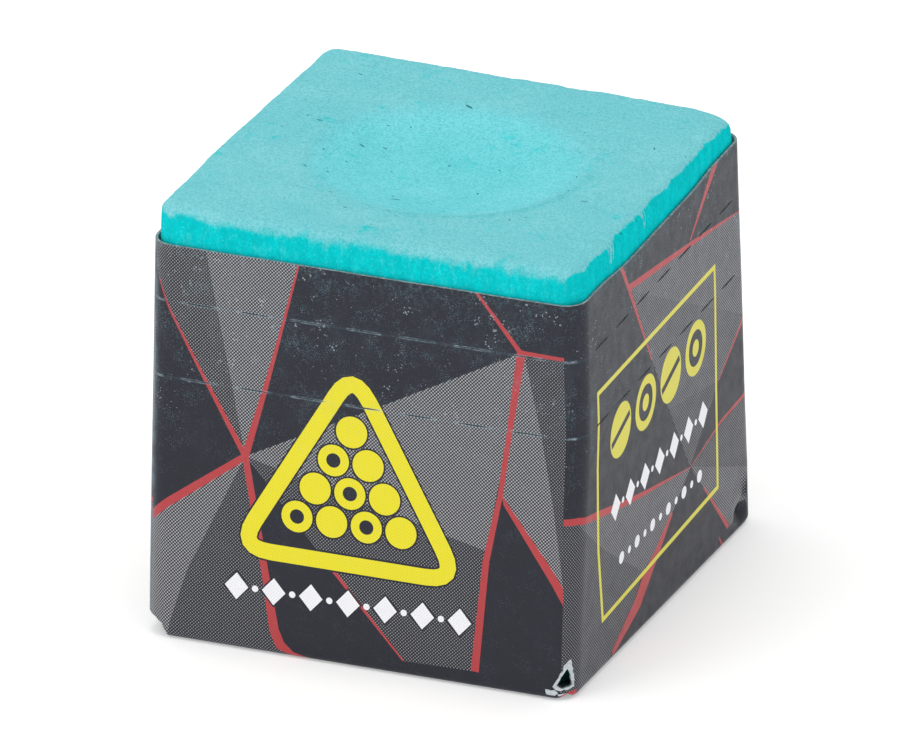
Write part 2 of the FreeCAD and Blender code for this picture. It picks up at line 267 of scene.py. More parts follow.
# Artwork is a list of (ink, polygon), the later over the earlier. Points are (from the panel's
# left edge, up). A stroke is a polyline and its widths.
def front_facets():
    left, right, low = (5.15, 9.9), (19.15, 17.3), (17.58, 7.05)    # where red seams meet
    return [
        ("black", [(-0.01, -6), (22.21, -6), (22.21, 21), (-0.01, 21)]),
        # round the left-hand meeting
        ("mid", [left, (0.35, 18.1), (0.0, 18.7), (0.0, 21), (3.0, 21), (3.0, 19.8)]),
        ("light", [left, (3.0, 19.8), (3.0, 21), (7.85, 21), (7.78, 19.9)]),
        ("light", [left, (0.0, 5.9), (0.0, -0.3), (1.2, -0.3), (1.43, 0.93), (2.26, 3.63)]),
        ("dark", [left, (2.26, 3.63), (1.43, 0.93), (1.2, -0.3), (7.9, -0.3), (7.1, 0.6),
                  (6.8, 1.3)]),
        # the two big facets between the meetings
        ("light", [left, right, low]),
        ("dark", [left, low, (17.24, 0.84), (13.52, 0.78)]),
        # at the right-hand edge, cut off where the next panel's print begins
        ("light", [right, (19.35, 17.15), (20.8, 10.3), (21.4, 7.2), (21.67, 5.72),
                   (18.23, 9.97)]),
        ("dark", [(19.3, 17.3), (21.42, 17.3), (21.53, 9.05), (21.67, 5.72), (21.4, 7.2),
                  (20.8, 10.3), (19.35, 17.15)]),
        # red seams
        ("red", stroke([(0.3, 18.25), (2.7, 14.0), left], [0.08, 0.16, 0.30])),
        ("red", stroke([(7.85, 20.3), (6.55, 15.2), left], [0.09, 0.19, 0.38])),
        ("red", stroke([(-0.05, 6.0), left], [0.44, 0.34])),
        ("red", stroke([left, (6.35, 3.93), (6.83, 1.29), (7.16, 0.57), (7.79, 0.18),
                        (8.6, 0.02)], [0.34, 0.38, 0.50, 0.50, 0.30, 0.06])),
        ("red", stroke([(16.65, 20.3), right], [0.13, 0.25])),
        ("red", stroke([(19.0, 17.32), (21.42, 17.30)], [0.24, 0.18])),
        ("red", stroke([(19.2, 17.45), (18.56, 13.35), (18.2, 9.97), (17.6, 6.5),
                        (17.22, 0.84)], [0.46, 0.28, 0.26, 0.34, 0.42])),
        ("red", [(18.25, 10.05), (18.4, 9.5), (21.71, 4.85), (21.67, 5.75)]),
        ("red", stroke([(9.47, 5.19), (13.52, 0.80)], [0.20, 0.08])),
    ]


def rack_emblem():
    """Ten plain rounds in a triangular frame."""
    middle, foot, side, corner_cut = 10.55, 5.25, 11.4, 1.7
    line_wide, black_line_wide = 0.84, 1.02
    radius, pitch, black_margin = 0.80, 1.78, 0.09
    top_ball = foot + 6.72
    line = rounded([(middle - side / 2, foot), (middle + side / 2, foot),
                    (middle, foot + side * math.sqrt(3) / 2)], corner_cut)
    art = [("black", quad) for quad in ring(line, black_line_wide)]
    art += [("yellow", quad) for quad in ring(line, line_wide)]
    for row in range(4):
        y = top_ball - row * pitch * 0.88
        for i in range(row + 1):
            x = middle + (i - row / 2) * pitch
            art.append(("black", disc(x, y, radius + black_margin, 26)))
            art.append(("yellow", disc(x, y, radius, 26)))
            if (row + i) % 2:
                art.append(("black", disc(x, y, radius * 0.46, 18)))
    return art


def front_art():
    """Facets, red seams, the emblem, and a row of diamonds under it."""
    art = front_facets() + rack_emblem()
    first, pitch, y = 4.85, 1.92, 3.25
    for i in range(7):
        x = first + i * pitch
        art.append(("black", diamond(x, y, 1.46, 1.62)))
        art.append(("white", diamond(x, y, 1.22, 1.38)))
        if i < 6:
            art.append(("white", disc(x + pitch / 2, y, 0.17, 10)))
    return art


def side_facets():
    return [
        ("black", [(-0.45, -6), (22.21, -6), (22.21, 21), (-0.82, 21), (-0.78, 17.3),
                   (-0.67, 9.05), (-0.49, 4.85)]),
        # under the upper red line
        ("light_side", [(6.45, 18.3), (16.5, 16.9), (22.2, 16.1), (22.2, 10.5), (21.0, 11.05),
                        (7.28, 17.87)]),
        ("mid_side", [(6.45, 18.3), (7.28, 17.87), (21.0, 11.05), (21.3, 10.6), (18.03, 8.85),
                      (14.25, 6.0), (9.29, 13.57)]),
        ("dark_side", [(11.6, 10.1), (18.03, 8.85), (14.25, 6.0)]),
        # lower left, which runs on round the corner from the front face
        ("dark_side", [(-0.66, 9.1), (0.2, 8.9), (3.36, 6.44), (8.4, 3.1), (7.4, 2.1),
                       (4.7, 0.5), (4.2, -0.3), (-0.45, -0.3), (-0.49, 4.85)]),
        ("light_side", [(0.2, 8.9), (3.08, 8.35), (8.73, 7.0), (14.31, 5.94), (12.0, 4.54),
                        (10.1, 3.5), (8.4, 3.1), (3.36, 6.44)]),
        # lower right
        ("dark_side", [(14.31, 5.94), (17.25, 6.49), (18.15, 6.64), (22.2, 6.75), (22.2, 2.65),
                       (21.2, 3.02)]),
        ("light_side", [(14.31, 5.94), (21.2, 3.02), (22.2, 2.65), (22.2, 0.6), (18.86, 0.86),
                        (15.9, 4.22)]),
        # red lines and the wedge
        ("red", stroke([(5.15, 20.4), (6.4, 18.4), (9.29, 13.57)], [0.30, 0.28, 0.10])),
        ("red", stroke([(6.35, 18.42), (11.5, 17.7), (16.49, 16.97), (22.2, 16.1)],
                       [0.34, 0.30, 0.22, 0.04])),
        ("red", stroke([(19.0, 20.4), (14.71, 17.45)], [0.58, 0.12])),
        ("red", stroke([(-0.66, 9.08), (0.23, 9.06), (1.53, 8.78), (3.08, 8.40), (6.05, 7.64),
                        (8.73, 7.05), (11.14, 6.58), (14.31, 5.94)],
                       [0.34, 0.36, 0.36, 0.36, 0.30, 0.22, 0.14, 0.04])),
        ("red", stroke([(21.6, 10.8), (18.03, 8.85)], [0.22, 0.08])),
        ("red", stroke([(22.2, 6.78), (18.15, 6.64), (14.31, 5.94)], [0.22, 0.14, 0.04])),
        ("red", stroke([(15.9, 4.22), (18.86, 0.86)], [0.10, 0.26])),
        ("red", stroke([(17.75, 0.80), (18.25, 0.05)], [0.06, 0.22])),
        ("red", [(11.9, 4.66), (10.07, 3.62), (8.55, 2.98), (7.50, 2.06), (4.85, 0.56),
                 (4.95, 0.30), (5.33, 0.38), (8.17, 1.40), (9.59, 2.55), (10.56, 3.25),
                 (12.08, 4.50)]),
    ]


def side_art():
    """For the left and right faces; it starts just before the panel's left corner."""
    art = side_facets()
    # plain yellow frame, each side running a little past its corners
    corners = [(2.13, 14.84), (17.78, 14.80), (17.62, 3.47), (3.56, 2.73), (2.73, 6.56),
               (2.25, 11.0)]
    for start, end in zip(corners, corners[1:] + corners[:1]):
        past = (Vector(end) - Vector(start)).normalized() * 0.1
        line = [(start[0] - past.x, start[1] - past.y), (end[0] + past.x, end[1] + past.y)]
        art.append(("frame", stroke(line, 0.25)))
    # a row of balls, barred and ringed by turns
    for i in range(4):
        x, y = 5.2 + i * 3.3, 11.75
        art.append(("frame", disc(x, y, 1.36, 34)))
        if i % 2:
            art.append(("black", disc(x, y, 0.90, 30)))
            art.append(("frame", disc(x, y, 0.42, 22)))
        else:
            art.append(("black", stroke([(x - 1.15, y - 0.42), (x + 1.15, y + 0.42)], 0.34)))
    # a row of diamonds, and a finer row of dots under them
    first, pitch, y = 4.8, 1.86, 7.95
    for i in range(7):
        x = first + i * pitch
        art.append(("white", diamond(x, y, 1.20, 1.40)))
        if i < 6:
            art.append(("white", disc(x + pitch / 2, y, 0.16, 10)))
    for i in range(11):
        art.append(("white", disc(5.7 + i * 0.97, 5.0, 0.19 if i % 2 else 0.31, 14)))
    return art


# ---------------------------------------------------------------- the sheet's outline and cuts
FLAP = 5.2                 # how far a flap reaches in under the cube
FLAP_SHOULDER = 0.8        # where a flap's slanting ends start, in from the wall
LAP_FOOT = 0.62            # the outer ply of the seam is trimmed just above the fold
NOTCH_FOOT = FOLD_END + 0.05

# Cuts at the lower corners, as (offset from the corner line, up): the left side of the cut,
# going up, then its right side, going down. The two sides are seen from outside.
NOTCHES = (
    # front right
    ([(-0.85, NOTCH_FOOT), (-0.35, 0.16), (0, 0.34)], [(0.35, 0.16), (0.85, NOTCH_FOOT)]),
    # back right
    ([(-1.55, NOTCH_FOOT), (-1.30, 0.12), (-0.95, 0.30), (-0.45, 0.38), (-0.1, 0.46)],
     [(0.30, 0.40), (0.75, NOTCH_FOOT)]),
    # back left
    ([(-0.90, NOTCH_FOOT), (-0.75, 0.35), (-0.35, 0.85), (0, 1.15)],
     [(0.40, 0.80), (0.80, 0.30), (0.90, NOTCH_FOOT)]),
    # front left
    ([(-2.60, NOTCH_FOOT), (-2.45, 0.28), (-2.00, 0.66), (-1.10, 0.94), (-0.20, 1.04)],
     [(0.45, 0.96), (0.95, 0.72), (1.22, 0.30), (1.26, NOTCH_FOOT)]),
)

# The torn lower front right corner, as (offset from the corner line, up).
TEAR_HOLE = [(-0.06, 1.62), (-0.42, 1.20), (-0.72, 0.78), (-0.40, 0.62), (0.10, 0.66),
             (0.30, 0.74), (0.16, 1.25)]
TEAR_FRAY = [(0.16, 2.05), (-0.30, 1.80), (-0.34, 1.52), (-0.72, 1.05), (-0.95, 0.70),
             (-0.72, 0.56), (-0.40, 0.50), (0.12, 0.55), (0.50, 0.60), (0.40, 1.25),
             (0.22, 1.70)]
LEFT_SCRAP = [(-1.35, 0.52), (-0.80, 0.56), (-0.58, 0.40), (-0.78, 0.24), (-1.28, 0.26)]
LOW_SCRAP = [(-0.62, 0.34), (-0.1, 0.36), (-0.1, 0.22), (-0.55, 0.2)]
RED_FOOT = [(-0.45, 0.22), (0.05, 0.40), (0.62, 0.44), (0.75, 0.20), (0.50, 0.02),
            (-0.30, 0.02)]
# Painted shade in the dent: a black patch, as (offset from the middle of the right face, up).
DENT_SHADE_PATCH = [(10.30, 0.90), (9.95, 1.35), (9.25, 1.42), (8.95, 0.78), (8.65, 0.14),
              (10.22, 0.12)]


def moved(points, shift):
    return [(shift + x, y) for x, y in points]


def jagged(points, amount, step, seed):
    """A torn edge: the outline cut into short steps that wander a little."""
    rng = np.random.RandomState(seed)
    out = []
    for start, end in zip(points, points[1:] + points[:1]):
        start, end = np.array(start, float), np.array(end, float)
        count = max(1, int(np.linalg.norm(end - start) / step))
        for i in range(count):
            wander = rng.uniform(-amount, amount, 2) * (1.0 if i else 0.3)
            out.append(tuple(start + (end - start) * (i / count) + wander))
    return out


def flap_up(inset):
    """`up` of a point that lies under the cube, so far in from the wall."""
    return FOLD_END - (inset - FOLD)


def flap_edge(inset):
    """Half length of a flap at a distance in from the wall."""
    return BASE - 0.2 - inset


def rim_height(around):
    """The sheet's upper edge: nearly straight, but trimmed low along the right-hand side."""
    along = around - BASE
    dip = (0.27 * smooth(along, 2.6, 7.0) * (1 - 0.62 * smooth(along, 15.3, 18.0))
           * (1 - smooth(along, 24.0, 30.0)))
    return float(RIM - 0.09 - dip + 0.03 * noise.noise(Vector((around * 0.35, 2.0, 0.0))))


def outline():
    """Corner points of the sheet, anticlockwise: the rim, then the flaps from left to right."""
    points = [(around, rim_height(around)) for around in np.arange(SHEET_END, SHEET_START, -0.6)]
    points.append((SHEET_START, rim_height(SHEET_START)))
    # the back flap is in two parts, one at each end of the sheet
    seam_up = flap_up(flap_edge(SEAM_X))
    points.append((SHEET_START, seam_up))
    tip, shoulder = flap_edge(FLAP), flap_edge(FLAP_SHOULDER)
    tip_up, shoulder_up = flap_up(FLAP), flap_up(FLAP_SHOULDER)
    for face in range(-2, 3):
        middle = face * PANEL
        if face > -2:
            points += moved(NOTCHES[(face - 1) % 4][1], middle - BASE)
            points.append((middle - shoulder, shoulder_up))
        if face < 2:
            points += [(middle - tip, tip_up), (middle + tip, tip_up),
                       (middle + shoulder, shoulder_up)]
            points += moved(NOTCHES[face % 4][0], middle + BASE)
    return points + [(LAP, seam_up), (LAP, LAP_FOOT), (SHEET_END, LAP_FOOT)]


def slit(middle, up, long, open_half):
    """A perforation slit: a long thin lens."""
    count = 6
    upper = [(middle - long / 2 + long * i / count,
              up + open_half * math.sin(math.pi * i / count) ** 0.5) for i in range(count + 1)]
    lower = [(x, 2 * up - y) for x, y in upper[1:-1]][::-1]
    return upper + lower


def perforations():
    polygons = []
    for face in range(-2, 3):
        for row in (ROW_LOW, ROW_HIGH):
            for k in range(-3, 4):
                middle = face * PANEL + k * SLIT_PITCH
                if not SHEET_START + 1.2 < middle < SHEET_END - 1.2:
                    continue
                if face % 4 == 1:
                    # on the right face a painted shadow line borders the cut
                    polygons.append(("shadow", slit(middle, row, 1.9, 0.058)))
                    polygons.append(("hole", slit(middle, row, 1.7, 0.022)))
                else:
                    polygons.append(("hole", slit(middle, row, 1.8, 0.035)))
    return polygons


def sheet_polygons():
    """(ink or "sheet" or "hole", polygon) on the flat sheet; the last on top decides."""
    polygons = [("sheet", outline())]
    for face, maker in ((-2, front_art), (0, front_art), (2, front_art),
                        (-1, side_art), (1, side_art)):
        for ink, polygon in maker():
            polygons.append((ink, [(x - ART_MIDDLE + face * PANEL, y) for x, y in polygon]))
    return polygons + [
        ("core", jagged(moved(TEAR_FRAY, BASE), amount=0.05, step=0.16, seed=5)),
        ("core", jagged(moved(LEFT_SCRAP, BASE), amount=0.04, step=0.15, seed=8)),
        ("core", jagged(moved(LOW_SCRAP, BASE), amount=0.03, step=0.12, seed=9)),
        ("red", moved(RED_FOOT, BASE)),
        ("hole", jagged(moved(TEAR_HOLE, BASE), amount=0.035, step=0.16, seed=11)),
        # painted shade over the dent in the right face
        ("black", jagged(moved(DENT_SHADE_PATCH, PANEL), amount=0.05, step=0.2, seed=21)),
    ] + perforations()


def guide_lines():
    """Lines the mesh has to follow: the perforations, the folds, the corners and the lap."""
    lines = []
    for up in (ROW_LOW, ROW_HIGH, *np.linspace(FOLD, FOLD_END, 7)):
        lines.append(((SHEET_START - 1, float(up)), (SHEET_END + 1, float(up))))
    for corner in (-1.5, -0.5, 0.5, 1.5):
        for step in range(-8, 9):
            around = corner * PANEL + step * 0.2
            lines.append(((around, -1.6), (around, RIM + 1)))
    for around in (LAP - 0.9, LAP - 0.5, LAP):
        lines.append(((around, -7), (around, RIM + 1)))
    return lines


def loose_points():
    """Points that carry the soft waves between the outlines, and a fine grid at the dent."""
    points = []
    step = 0.9
    rng = np.random.RandomState(3)
    for around in np.arange(SHEET_START + 0.5, SHEET_END, step):
        for up in np.arange(0.9, RIM - 0.3, step):
            if abs(abs(around) % PANEL - BASE) > 1.7:
                points.append(Vector((around + rng.uniform(-0.2, 0.2),
                                      up + rng.uniform(-0.2, 0.2))))
    for around in np.arange(PANEL + 7.9, PANEL + 10.4, 0.17):
        for up in np.arange(0.16, 2.3, 0.17):
            points.append(Vector((float(around), float(up))))
    return points


def covers(polygon, places):
    """Which places lie inside a polygon."""
    corners = np.array(polygon, float)
    low, high = corners.min(axis=0), corners.max(axis=0)
    near = np.nonzero(((places >= low) & (places <= high)).all(axis=1))[0]
    x, y = places[near, 0], places[near, 1]
    inside = np.zeros(len(near), bool)
    for (x0, y0), (x1, y1) in zip(corners, np.roll(corners, -1, axis=0)):
        if y0 == y1:
            continue
        inside ^= ((y0 > y) != (y1 > y)) & (x < (x1 - x0) * (y - y0) / (y1 - y0) + x0)
    out = np.zeros(len(places), bool)
    out[near[inside]] = True
    return out


def build_sheet():
    """The flat sheet: its points, its triangles, and each triangle's ink."""
    polygons = sheet_polygons()
    verts, edges, faces = [], [], []
    for _, polygon in polygons:
        faces.append(list(range(len(verts), len(verts) + len(polygon))))
        verts += [Vector((float(x), float(y))) for x, y in polygon]
    for start, end in guide_lines():
        edges.append((len(verts), len(verts) + 1))
        verts += [Vector(start), Vector(end)]
    verts += loose_points()
    out = geometry.delaunay_2d_cdt(verts, edges, faces, 0, 1e-5, True)
    points = np.array([(vert.x, vert.y) for vert in out[0]])
    tris = np.array(list(out[2]), dtype=int)
    # weld points that all but coincide, so that no sliver is left between the outlines
    _, first, back = np.unique(np.round(points / 4e-4).astype(np.int64), axis=0,
                               return_index=True, return_inverse=True)
    points, tris = points[first], back.reshape(-1)[tris]
    tris = tris[(tris[:, 0] != tris[:, 1]) & (tris[:, 1] != tris[:, 2])
                & (tris[:, 2] != tris[:, 0])]
    # the last polygon that covers a triangle's middle decides its ink
    middle = points[tris].mean(axis=1)
    top = np.full(len(tris), -1)
    for number, (_, polygon) in enumerate(polygons):
        top[covers(polygon, middle) & ((top >= 0) | (number == 0))] = number
    names = np.array([kind for kind, _ in polygons], dtype=object)[top]
    keep = (top >= 0) & (names != "hole")
    return points, tris[keep], ["black" if name == "sheet" else name for name in names[keep]]


def sheet_piece(name, points, tris, inks, chosen):
    """A thick piece of the folded sheet: printed outside, plain inside, with cut edges."""
    tris = tris[chosen]
    inks = [inks[i] for i in np.nonzero(chosen)[0]]
    used, flat_index = np.unique(tris, return_inverse=True)
    tris = flat_index.reshape(-1, 3)
    flat = points[used]
    a, b, c = flat[tris[:, 0]], flat[tris[:, 1]], flat[tris[:, 2]]
    area = (b[:, 0] - a[:, 0]) * (c[:, 1] - a[:, 1]) - (b[:, 1] - a[:, 1]) * (c[:, 0] - a[:, 0])
    tris[area < -1e-6] = tris[area < -1e-6][:, ::-1]
    count = len(flat)
    outer = sheet_surface(flat[:, 0], flat[:, 1], 0.0)
    inner = sheet_surface(flat[:, 0], flat[:, 1], -PAPER)
    sides = dict.fromkeys((tri[i], tri[(i + 1) % 3]) for tri in tris for i in range(3))
    rim = [side for side in sides if (side[1], side[0]) not in sides]
    faces = [tuple(tri) for tri in tris] + [tuple(tri[::-1] + count) for tri in tris]
    faces += [(end, start, start + count, end + count) for start, end in rim]
    mesh = make_mesh(name, knock(np.vstack([outer, inner])) * MM,
                     [tuple(int(i) for i in face) for face in faces])

    paints = [INKS[ink] for ink in inks] + [INKS["back"]] * len(tris) + [INKS["edge"]] * len(rim)
    mesh.attributes.new("ink", "FLOAT_COLOR", "FACE")
    mesh.attributes.new("screen", "FLOAT", "FACE")
    mesh.uv_layers.new(name="label")
    colours = np.array([(*colour, 1.0) for colour, _ in paints], np.float32)
    mesh.attributes["ink"].data.foreach_set("color", colours.ravel())
    screens = np.array([screen for _, screen in paints], np.float32)
    mesh.attributes["screen"].data.foreach_set("value", screens)
    loops = np.empty(len(mesh.loops), np.int32)
    mesh.loops.foreach_get("vertex_index", loops)
    label = (np.vstack([flat, flat])[loops] * 0.01).astype(np.float32)
    mesh.uv_layers["label"].data.foreach_set("uv", label.ravel())

    # exact surface normals on the two broad sides, flat ones along the cut edges
    normal = sheet_normals(flat[:, 0], flat[:, 1])
    loop_normal = np.zeros((len(loops), 3))
    broad = 3 * len(tris)
    loop_normal[:broad] = normal[loops[:broad]]
    loop_normal[broad:2 * broad] = -normal[loops[broad:2 * broad] - count]
    face_normals = np.array([polygon.normal[:] for polygon in mesh.polygons])[2 * len(tris):]
    loop_normal[2 * broad:] = np.repeat(face_normals, 4, axis=0)
    mesh.normals_split_custom_set([tuple(value) for value in loop_normal])
    return make_object(name, mesh)


# ---------------------------------------------------------------- material nodes
class Nodes:
    """Builds a material's nodes with short calls; values may be numbers or sockets."""

    def __init__(self, name):
        self.material = bpy.data.materials.new(name)
        self.material.use_nodes = True
        self.tree = self.material.node_tree
        self.tree.nodes.clear()
        out = self.add("OutputMaterial")
        self.shader = self.add("BsdfPrincipled")
        self.tree.links.new(self.shader.outputs[0], out.inputs["Surface"])

    def add(self, kind):
        return self.tree.nodes.new("ShaderNode" + kind)

    def put(self, socket, value):
        if isinstance(value, bpy.types.NodeSocket):
            self.tree.links.new(value, socket)
        elif isinstance(value, tuple) and len(value) == 3 and socket.type == "RGBA":
            socket.default_value = (*value, 1.0)
        else:
            socket.default_value = value

    def set(self, name, value):
        self.put(self.shader.inputs[name], value)

    def math(self, kind, *values):
        node = self.add("Math")
        node.operation = kind
        for socket, value in zip(node.inputs, values):
            self.put(socket, value)
        return node.outputs[0]

    def plus(self, first, second):
        return self.math("ADD", first, second)

    def minus(self, first, second):
        return self.math("SUBTRACT", first, second)

    def times(self, first, *others):
        for other in others:
            first = self.math("MULTIPLY", first, other)
        return first

    def most(self, first, second):
        return self.math("MAXIMUM", first, second)

    def less(self, first, second):
        return self.math("LESS_THAN", first, second)

    def greater(self, first, second):
        return self.math("GREATER_THAN", first, second)

    def size(self, value):
        return self.math("ABSOLUTE", value)

    def mix(self, factor, first, second):
        node = self.add("Mix")
        node.data_type = "RGBA"
        for index, value in ((0, factor), (6, first), (7, second)):
            self.put(node.inputs[index], value)
        return node.outputs[2]

    def ramp(self, value, span, to=(0.0, 1.0), soft=True):
        node = self.add("MapRange")
        node.interpolation_type = "SMOOTHSTEP" if soft else "LINEAR"
        self.put(node.inputs["Value"], value)
        for name, limit in zip(("From Min", "From Max", "To Min", "To Max"), (*span, *to)):
            self.put(node.inputs[name], limit)
        return node.outputs[0]

    def noise(self, vector, scale, detail=3.0, rough=0.55, warp=0.0):
        node = self.add("TexNoise")
        self.put(node.inputs["Vector"], vector)
        node.inputs["Scale"].default_value = scale
        node.inputs["Detail"].default_value = detail
        node.inputs["Roughness"].default_value = rough
        node.inputs["Distortion"].default_value = warp
        return node.outputs["Fac"]

    def cells(self, vector, scale):
        """Distance to the middle of the nearest cell."""
        node = self.add("TexVoronoi")
        self.put(node.inputs["Vector"], vector)
        node.inputs["Scale"].default_value = scale
        return node.outputs["Distance"]

    def mapping(self, vector, scale=(1, 1, 1), turn=(0, 0, 0), move=(0, 0, 0)):
        node = self.add("Mapping")
        self.put(node.inputs["Vector"], vector)
        node.inputs["Scale"].default_value = scale
        node.inputs["Rotation"].default_value = turn
        node.inputs["Location"].default_value = move
        return node.outputs[0]

    def split(self, vector):
        node = self.add("SeparateXYZ")
        self.put(node.inputs[0], vector)
        return node.outputs

    def attribute(self, name):
        node = self.add("Attribute")
        node.attribute_name = name
        return node.outputs

    def place(self):
        """Object coordinates in millimetres."""
        return self.mapping(self.add("TexCoord").outputs["Object"], scale=(1000, 1000, 1000))

    def bump(self, height, distance, strength):
        node = self.add("Bump")
        node.inputs["Strength"].default_value = strength
        node.inputs["Distance"].default_value = distance
        self.put(node.inputs["Height"], height)
        self.set("Normal", node.outputs[0])


# ---------------------------------------------------------------- printed paper
def dot_screen(net, around, up, ink, screen):
    """Solid inks, or a screen of dots at 45 degrees over black."""
    pitch, softness = 0.123, 0.135
    wave = 2 * math.pi / (pitch * math.sqrt(2))
    rising = net.math("COSINE", net.times(net.plus(around, up), wave))
    falling = net.math("COSINE", net.times(net.minus(around, up), wave))
    dots = net.ramp(net.plus(rising, falling), span=(-2.0, 2.0), soft=False)
    level = net.minus(1.0, screen)
    edge = (net.minus(level, softness), net.plus(level, softness))
    return net.mix(net.ramp(dots, span=edge, soft=False), INKS["black"][0], ink)


def perforation_dust_and_highlight(net, place, sheet, around, up):
    """Dust in dashes along the perforations, which also stands in as a painted highlight on the lit
    edges of the slits; faint on the right face, where the slits lie in shade.
    """
    panel = net.math("ROUND", net.math("DIVIDE", around, PANEL))
    local = net.minus(around, net.times(panel, PANEL))
    slits = net.math("DIVIDE", local, SLIT_PITCH)
    nearest = net.math("ROUND", net.math("DIVIDE", local, SLIT_PITCH))
    from_slit = net.times(net.size(net.minus(slits, nearest)), SLIT_PITCH)
    dash = net.ramp(from_slit, span=(0.80, 1.05), to=(1.0, 0.12))
    facing = net.ramp(net.size(net.minus(panel, 1.0)), span=(0.4, 0.6), to=(0.12, 1.0))
    scuff = net.noise(net.mapping(sheet, scale=(1.6, 9.0, 1.0)), scale=1.0, detail=5.0, rough=0.7)
    low, high = [net.ramp(net.size(net.minus(up, row)), span=(0.02, 0.10), to=(1.0, 0.0))
                 for row in (ROW_LOW, ROW_HIGH)]
    grain = net.noise(place, scale=6.0, detail=3.0, rough=0.7)
    return net.times(net.most(low, high), dash,
                     net.ramp(scuff, span=(0.34, 0.60), to=(0.10, 0.62)), facing,
                     net.ramp(grain, span=(0.36, 0.60), to=(0.25, 1.0)))


def specks_and_mist(net, place, upper):
    """Fine specks of chalk in patches, and a finer mist; both thin out towards the foot."""
    patchy = net.noise(place, scale=0.42, detail=4.0, rough=0.65)
    size = net.ramp(net.noise(place, scale=2.3, detail=2.0), span=(0.40, 0.76), to=(0.0, 0.40))
    reach = net.times(size, upper, net.ramp(patchy, span=(0.38, 0.66), to=(0.3, 1.2)))
    turned = net.mapping(place, turn=(0.3, 0.2, 0.5))
    speck = net.less(net.cells(turned, scale=7.0), reach)
    cloud = net.noise(place, scale=0.9, detail=5.0, rough=0.75)
    mist_reach = net.ramp(cloud, span=(0.38, 0.72), to=(0.12, 0.46))
    mist = net.times(net.less(net.cells(place, scale=15.0), mist_reach), upper)
    return net.most(net.times(speck, 0.55), net.times(mist, 0.22))


def paper_material():
    thin_dust, thick_dust = (0.13, 0.38, 0.46), (0.44, 0.54, 0.62)
    haze_colour, rub_and_highlight_colour = (0.22, 0.30, 0.35), (0.17, 0.26, 0.31)
    dirty_fibre = (0.42, 0.47, 0.49)

    net = Nodes("printed_paper")
    place = net.place()
    upper = net.ramp(net.split(place)[2], span=(6.0, 18.0), to=(0.22, 1.0))
    uv = net.add("UVMap")
    uv.uv_map = "label"
    sheet = net.mapping(uv.outputs[0], scale=(100, 100, 100))
    around, up, _ = net.split(sheet)
    ink = net.attribute("ink")[0]
    screen = net.attribute("screen")[2]
    printed = dot_screen(net, around, up, ink, screen)

    # chalk dust; it clings less to bare paper
    # the dashes along the perforations are chalk dust and a painted highlight on the slit edges
    along = perforation_dust_and_highlight(net, place, sheet, around, up)
    rim_grain = net.noise(place, scale=5.0, detail=4.0, rough=0.7)
    rim_dust = net.times(net.ramp(up, span=(RIM - 1.6, RIM), to=(0.0, 0.9)),
                         net.ramp(rim_grain, span=(0.50, 0.72)))
    dust = net.most(specks_and_mist(net, place, upper), net.most(along, net.times(rim_dust, 0.25)))
    plain = net.greater(screen, 1.5)
    dust = net.times(dust, net.minus(1.0, net.times(plain, 0.6)))
    thick = net.most(net.ramp(net.noise(place, scale=2.3, detail=2.0), span=(0.3, 0.7)),
                     net.ramp(along, span=(0.02, 0.25), to=(0.0, 0.9)))
    colour = net.mix(dust, printed, net.mix(thick, thin_dust, thick_dust))

    # dull haze, more of it higher up
    cloud = net.noise(net.mapping(place, scale=(1.0, 1.0, 0.5)), scale=0.55, detail=5.0, rough=0.72)
    haze = net.plus(net.times(net.ramp(cloud, span=(0.46, 0.86), to=(0.0, 0.10)), upper),
                    net.times(upper, upper, 0.014))
    colour = net.mix(haze, colour, haze_colour)

    # the front left corner is rubbed pale, and the paleness is also a painted highlight along its
    # edge
    rub_and_highlight = net.ramp(net.size(net.plus(around, BASE + 0.25)), span=(0.10, 0.75), to=(1.0, 0.0))
    rub_grain = net.noise(net.mapping(place, scale=(1, 1, 0.5)), scale=1.6, detail=4.0, rough=0.7)
    rub_and_highlight = net.times(rub_and_highlight, net.ramp(rub_grain, span=(0.36, 0.66), to=(0.05, 0.55)))
    colour = net.mix(rub_and_highlight, colour, rub_and_highlight_colour)

    # bare paper shows slightly dirty fibres; painted shade keeps its own colour, with no gloss
    strands = net.mapping(place, scale=(3.0, 3.0, 9.0), turn=(0.4, 0.1, 0.2))
    fibre = net.noise(strands, scale=1.6, detail=5.0, rough=0.7)
    colour = net.mix(plain, colour, net.mix(net.ramp(fibre, span=(0.3, 0.7)), dirty_fibre, ink))
    dark = net.greater(screen, 2.5)
    net.set("Base Color", net.mix(dark, colour, ink))

    sheen = net.noise(place, scale=1.3, detail=4.0, rough=0.6)
    rough = net.plus(net.ramp(sheen, span=(0.3, 0.75), to=(0.30, 0.44)), net.times(dust, 0.45))
    net.set("Roughness", net.most(rough, net.times(plain, 0.9)))
    net.set("IOR", 1.45)
    net.set("Specular IOR Level", net.times(net.minus(1.0, dark), 0.13))

    # relief: paper grain, scratches, dust and fibres
    scratches = net.mapping(sheet, scale=(0.7, 9.0, 1.0), turn=(0, 0, 0.5))
    scratch = net.noise(scratches, scale=1.2, detail=4.0, rough=0.7)
    paper_grain = net.noise(place, scale=7.0, detail=4.0, rough=0.6)
    height = net.plus(net.times(paper_grain, 0.6), net.times(scratch, 0.25))
    height = net.plus(height, net.times(dust, 0.5))
    height = net.plus(height, net.times(fibre, plain, 1.5))
    net.bump(height, distance=0.000012, strength=0.55)
    return net.material


